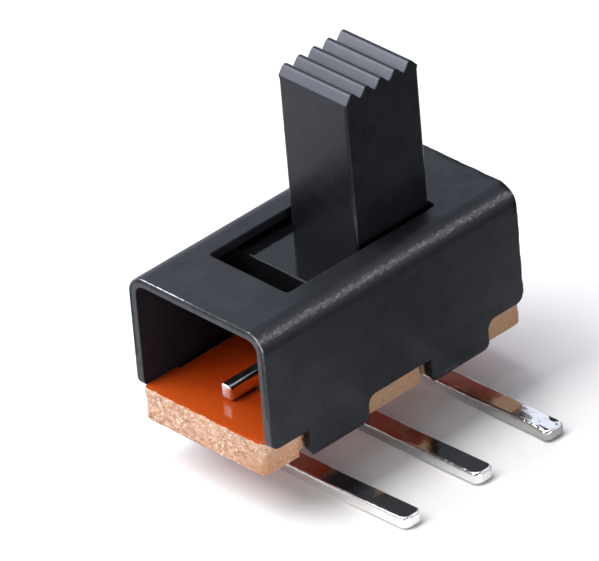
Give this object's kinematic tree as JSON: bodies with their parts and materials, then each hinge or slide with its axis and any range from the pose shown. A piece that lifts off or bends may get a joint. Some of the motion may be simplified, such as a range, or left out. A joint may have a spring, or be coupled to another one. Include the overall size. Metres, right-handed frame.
{
  "type": "slide switch",
  "caption": "Small slide switch: ridged knob in a slotted black sheet-steel cover, laminate base board and flat terminals bent at a right angle to one side.",
  "frame": {"origin": "on the middle leg's centre line, where it leaves the plane of the cover's -Y wall, which is the face that meets the circuit board", "axes": "+X along the slide, towards the end where the knob rests; +Z out of the cover's top along the knob; the legs point to -Y"},
  "size_m": [0.0108, 0.009, 0.0115],
  "materials": {
    "black_steel": "thin satin black coating on pressed sheet steel, burnished along the bends and cut edges",
    "paper_laminate": "phenolic paper laminate: glossy orange faces, rough tan punched edges",
    "tin_plate": "bright tin plate on brass sheet",
    "black_moulding": "satin black moulded plastic with a polished plate",
    "spring_bronze": "plain spring bronze"
  },
  "bodies": {
    "housing": {"cover": "black_steel", "base": "paper_laminate", "terminal_1": "tin_plate", "terminal_2": "tin_plate", "terminal_3": "tin_plate"},
    "slider": {"slider": "black_moulding", "contact_clip": "spring_bronze"}
  },
  "joints": [
    {"name": "slider_travel", "type": "slide", "parent": "housing", "child": "slider", "axis": [1, 0, 0], "range_m": [-0.0031, 0]}
  ]
}
